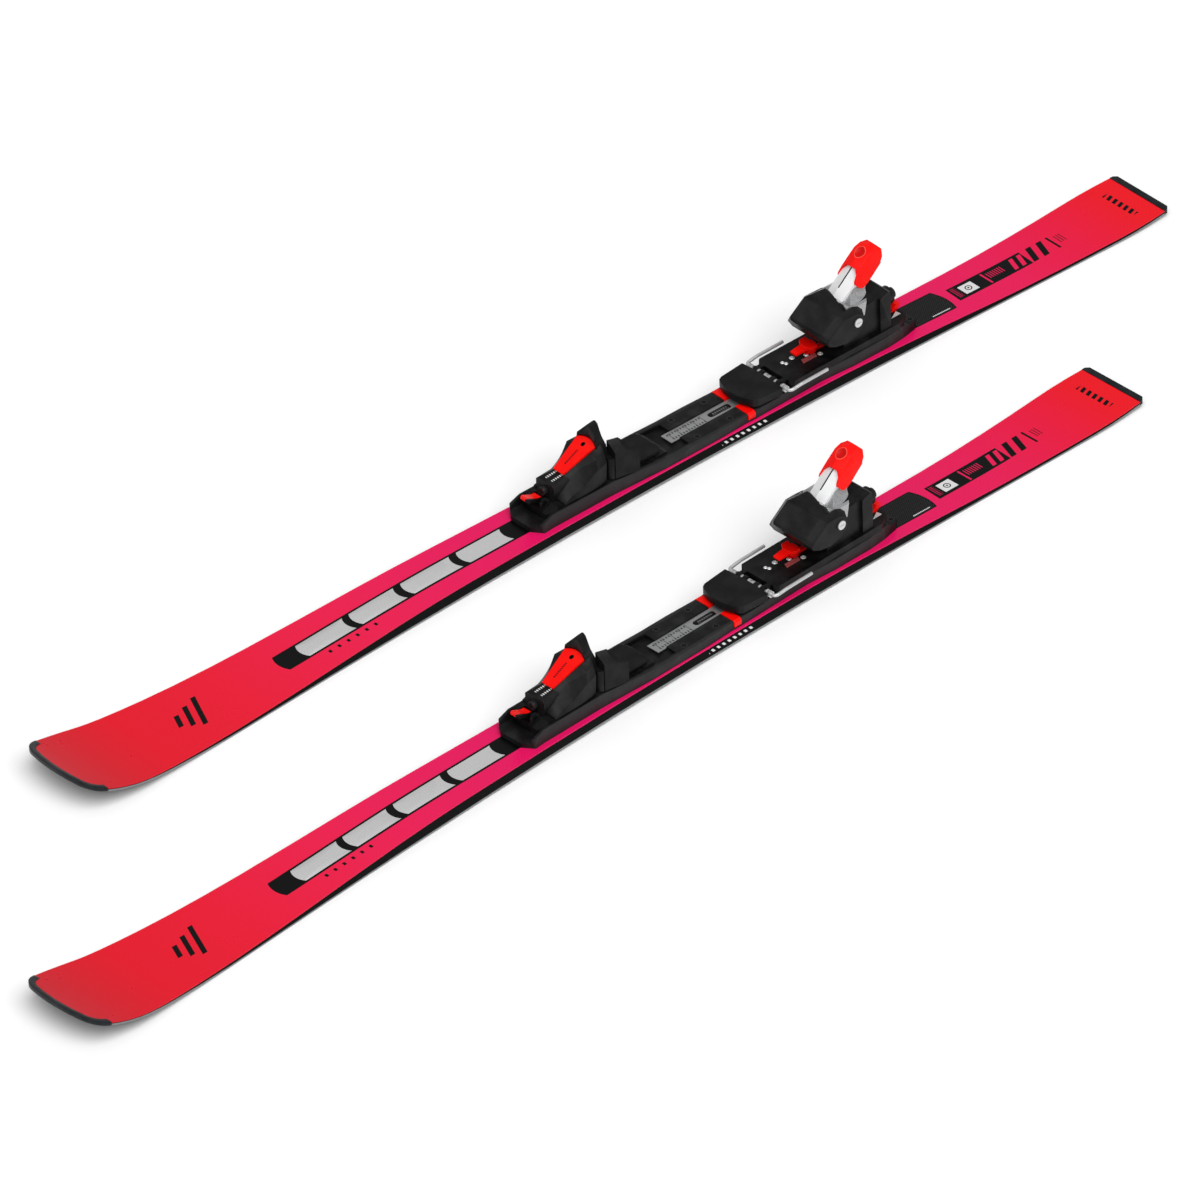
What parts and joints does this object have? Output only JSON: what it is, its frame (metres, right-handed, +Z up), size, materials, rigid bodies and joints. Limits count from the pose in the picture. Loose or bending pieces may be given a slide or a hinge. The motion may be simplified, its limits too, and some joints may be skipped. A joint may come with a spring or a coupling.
{
  "type": "alpine skis with bindings",
  "caption": "Pair of alpine skis with sidecut, curved tips, track plates and release bindings: toe pieces, sliding heel pieces, brakes and red levers.",
  "frame": {"origin": "on the ground, under the middle of the pair", "axes": "+X along the skis to their tips, +Y to the left of a skier, +Z up"},
  "size_m": [1.9305, 0.446, 0.1445],
  "materials": {
    "ski_base": "sintered",
    "edge_steel": "ground",
    "wood_core": "laminated",
    "sidewall_black": "milled",
    "top_graphic": "printed gloss",
    "guard_black": "moulded",
    "insert_silver": "fine textured",
    "plate_charcoal": "moulded satin",
    "band_steel": "brushed",
    "red_plastic": "satin",
    "screw_steel": "satin",
    "housing_black": "moulded satin",
    "spring_steel": "coiled",
    "pad_black": "slick",
    "lever_silver": "painted white and satin silver",
    "wire_black": "coated"
  },
  "bodies": {
    "right_ski_body": {"right_sole": "ski_base", "right_steel_edges": "edge_steel", "right_core": "wood_core", "right_sidewalls": "sidewall_black", "right_top_sheet": "top_graphic", "right_end_guards": "guard_black", "right_damper_inserts": "insert_silver", "right_track_plates": "plate_charcoal", "right_scale_band": "band_steel", "right_band_clip": "red_plastic", "right_plate_screws": "screw_steel"},
    "right_toe_body": {"right_toe_base": "housing_black", "right_toe_housing": "housing_black", "right_toe_cover": "red_plastic", "right_toe_spring": "spring_steel"},
    "right_toe_screw_body": {"right_toe_screw": "screw_steel"},
    "right_wing_left_body": {"right_wing_left": "housing_black"},
    "right_wing_right_body": {"right_wing_right": "housing_black"},
    "right_toe_lock_body": {"right_toe_lock": "red_plastic"},
    "right_glide_pad_body": {"right_glide_pad": "pad_black"},
    "right_heel_body": {"right_heel_base": "housing_black", "right_heel_axle": "screw_steel", "right_heel_spring": "spring_steel"},
    "right_heel_cup_body": {"right_heel_cup": "housing_black"},
    "right_heel_lever_body": {"right_heel_lever": "lever_silver", "right_lever_grip": "red_plastic"},
    "right_heel_screw_body": {"right_heel_screw": "housing_black"},
    "right_heel_lock_body": {"right_heel_lock": "red_plastic"},
    "right_brake_body": {"right_brake_pad": "pad_black", "right_brake_arms": "wire_black"},
    "left_ski_body": {"left_sole": "ski_base", "left_steel_edges": "edge_steel", "left_core": "wood_core", "left_sidewalls": "sidewall_black", "left_top_sheet": "top_graphic", "left_end_guards": "guard_black", "left_damper_inserts": "insert_silver", "left_track_plates": "plate_charcoal", "left_scale_band": "band_steel", "left_band_clip": "red_plastic", "left_plate_screws": "screw_steel"},
    "left_toe_body": {"left_toe_base": "housing_black", "left_toe_housing": "housing_black", "left_toe_cover": "red_plastic", "left_toe_spring": "spring_steel"},
    "left_toe_screw_body": {"left_toe_screw": "screw_steel"},
    "left_wing_left_body": {"left_wing_left": "housing_black"},
    "left_wing_right_body": {"left_wing_right": "housing_black"},
    "left_toe_lock_body": {"left_toe_lock": "red_plastic"},
    "left_glide_pad_body": {"left_glide_pad": "pad_black"},
    "left_heel_body": {"left_heel_base": "housing_black", "left_heel_axle": "screw_steel", "left_heel_spring": "spring_steel"},
    "left_heel_cup_body": {"left_heel_cup": "housing_black"},
    "left_heel_lever_body": {"left_heel_lever": "lever_silver", "left_lever_grip": "red_plastic"},
    "left_heel_screw_body": {"left_heel_screw": "housing_black"},
    "left_heel_lock_body": {"left_heel_lock": "red_plastic"},
    "left_brake_body": {"left_brake_pad": "pad_black", "left_brake_arms": "wire_black"}
  },
  "joints": [
    {"name": "right_toe_slide", "type": "slide", "parent": "right_ski_body", "child": "right_toe_body", "axis": [0.9998, -0.0219, 0], "range_m": [-0.015, 0.015]},
    {"name": "right_toe_lock_tip", "type": "hinge", "parent": "right_toe_body", "child": "right_toe_lock_body", "pos_m": [-0.03753, -0.1442, 0.042], "axis": [-0.0219, -0.9998, 0], "range_deg": [0, 40]},
    {"name": "right_left_wing_swing", "type": "hinge", "parent": "right_toe_body", "child": "right_wing_left_body", "pos_m": [-0.12804, -0.12121, 0.05], "axis": [0, 0, -1], "range_deg": [0, 30]},
    {"name": "right_right_wing_swing", "type": "hinge", "parent": "right_toe_body", "child": "right_wing_right_body", "pos_m": [-0.12896, -0.1632, 0.05], "axis": [0, 0, 1], "range_deg": [0, 30]},
    {"name": "right_glide_pad_slide", "type": "slide", "parent": "right_toe_body", "child": "right_glide_pad_body", "axis": [0.0219, 0.9998, 0], "range_m": [-0.005, 0.005]},
    {"name": "right_toe_screw_turn", "type": "hinge", "parent": "right_toe_body", "child": "right_toe_screw_body", "pos_m": [-0.04752, -0.14398, 0.0495], "axis": [0.9998, -0.0219, 0], "continuous": true},
    {"name": "right_heel_slide", "type": "slide", "parent": "right_ski_body", "child": "right_heel_body", "axis": [0.9998, -0.0219, 0], "range_m": [-0.012, 0.025]},
    {"name": "right_heel_cup_swing", "type": "hinge", "parent": "right_heel_body", "child": "right_heel_cup_body", "pos_m": [-0.49392, -0.1342, 0.0755], "axis": [-0.0219, -0.9998, 0], "range_deg": [0, 20]},
    {"name": "right_heel_lever_press", "type": "hinge", "parent": "right_heel_body", "child": "right_heel_lever_body", "pos_m": [-0.49392, -0.1342, 0.0755], "axis": [-0.0219, -0.9998, 0], "range_deg": [0, 24]},
    {"name": "right_heel_screw_turn", "type": "hinge", "parent": "right_heel_body", "child": "right_heel_screw_body", "pos_m": [-0.5734, -0.13246, 0.06], "axis": [0.9998, -0.0219, 0], "continuous": true},
    {"name": "right_heel_lock_slide", "type": "slide", "parent": "right_heel_body", "child": "right_heel_lock_body", "axis": [0.9998, -0.0219, 0], "range_m": [-0.006, 0]},
    {"name": "right_brake_swing", "type": "hinge", "parent": "right_heel_body", "child": "right_brake_body", "pos_m": [-0.38544, -0.13658, 0.036], "axis": [-0.0219, -0.9998, 0], "range_deg": [0, 60]},
    {"name": "left_toe_slide", "type": "slide", "parent": "left_ski_body", "child": "left_toe_body", "axis": [0.9998, 0.0219, 0], "range_m": [-0.015, 0.015]},
    {"name": "left_toe_lock_tip", "type": "hinge", "parent": "left_toe_body", "child": "left_toe_lock_body", "pos_m": [0.24748, 0.1442, 0.042], "axis": [0.0219, -0.9998, 0], "range_deg": [0, 40]},
    {"name": "left_left_wing_swing", "type": "hinge", "parent": "left_toe_body", "child": "left_wing_left_body", "pos_m": [0.15604, 0.1632, 0.05], "axis": [0, 0, -1], "range_deg": [0, 30]},
    {"name": "left_right_wing_swing", "type": "hinge", "parent": "left_toe_body", "child": "left_wing_right_body", "pos_m": [0.15696, 0.12121, 0.05], "axis": [0, 0, 1], "range_deg": [0, 30]},
    {"name": "left_glide_pad_slide", "type": "slide", "parent": "left_toe_body", "child": "left_glide_pad_body", "axis": [-0.0219, 0.9998, 0], "range_m": [-0.005, 0.005]},
    {"name": "left_toe_screw_turn", "type": "hinge", "parent": "left_toe_body", "child": "left_toe_screw_body", "pos_m": [0.23748, 0.14398, 0.0495], "axis": [0.9998, 0.0219, 0], "continuous": true},
    {"name": "left_heel_slide", "type": "slide", "parent": "left_ski_body", "child": "left_heel_body", "axis": [0.9998, 0.0219, 0], "range_m": [-0.012, 0.025]},
    {"name": "left_heel_cup_swing", "type": "hinge", "parent": "left_heel_body", "child": "left_heel_cup_body", "pos_m": [-0.20892, 0.1342, 0.0755], "axis": [0.0219, -0.9998, 0], "range_deg": [0, 20]},
    {"name": "left_heel_lever_press", "type": "hinge", "parent": "left_heel_body", "child": "left_heel_lever_body", "pos_m": [-0.20892, 0.1342, 0.0755], "axis": [0.0219, -0.9998, 0], "range_deg": [0, 24]},
    {"name": "left_heel_screw_turn", "type": "hinge", "parent": "left_heel_body", "child": "left_heel_screw_body", "pos_m": [-0.2884, 0.13246, 0.06], "axis": [0.9998, 0.0219, 0], "continuous": true},
    {"name": "left_heel_lock_slide", "type": "slide", "parent": "left_heel_body", "child": "left_heel_lock_body", "axis": [0.9998, 0.0219, 0], "range_m": [-0.006, 0]},
    {"name": "left_brake_swing", "type": "hinge", "parent": "left_heel_body", "child": "left_brake_body", "pos_m": [-0.10044, 0.13658, 0.036], "axis": [0.0219, -0.9998, 0], "range_deg": [0, 60]},
    {"name": "pair_spacing", "type": "slide", "parent": "right_ski_body", "child": "left_ski_body", "axis": [0.9998, 0.0219, 0], "range_m": [-0.45, 0.3]}
  ],
  "couplings": [
    {"joint": "right_heel_lever_press", "follows": "right_heel_cup_swing", "ratio": 1.2},
    {"joint": "left_heel_lever_press", "follows": "left_heel_cup_swing", "ratio": 1.2}
  ]
}
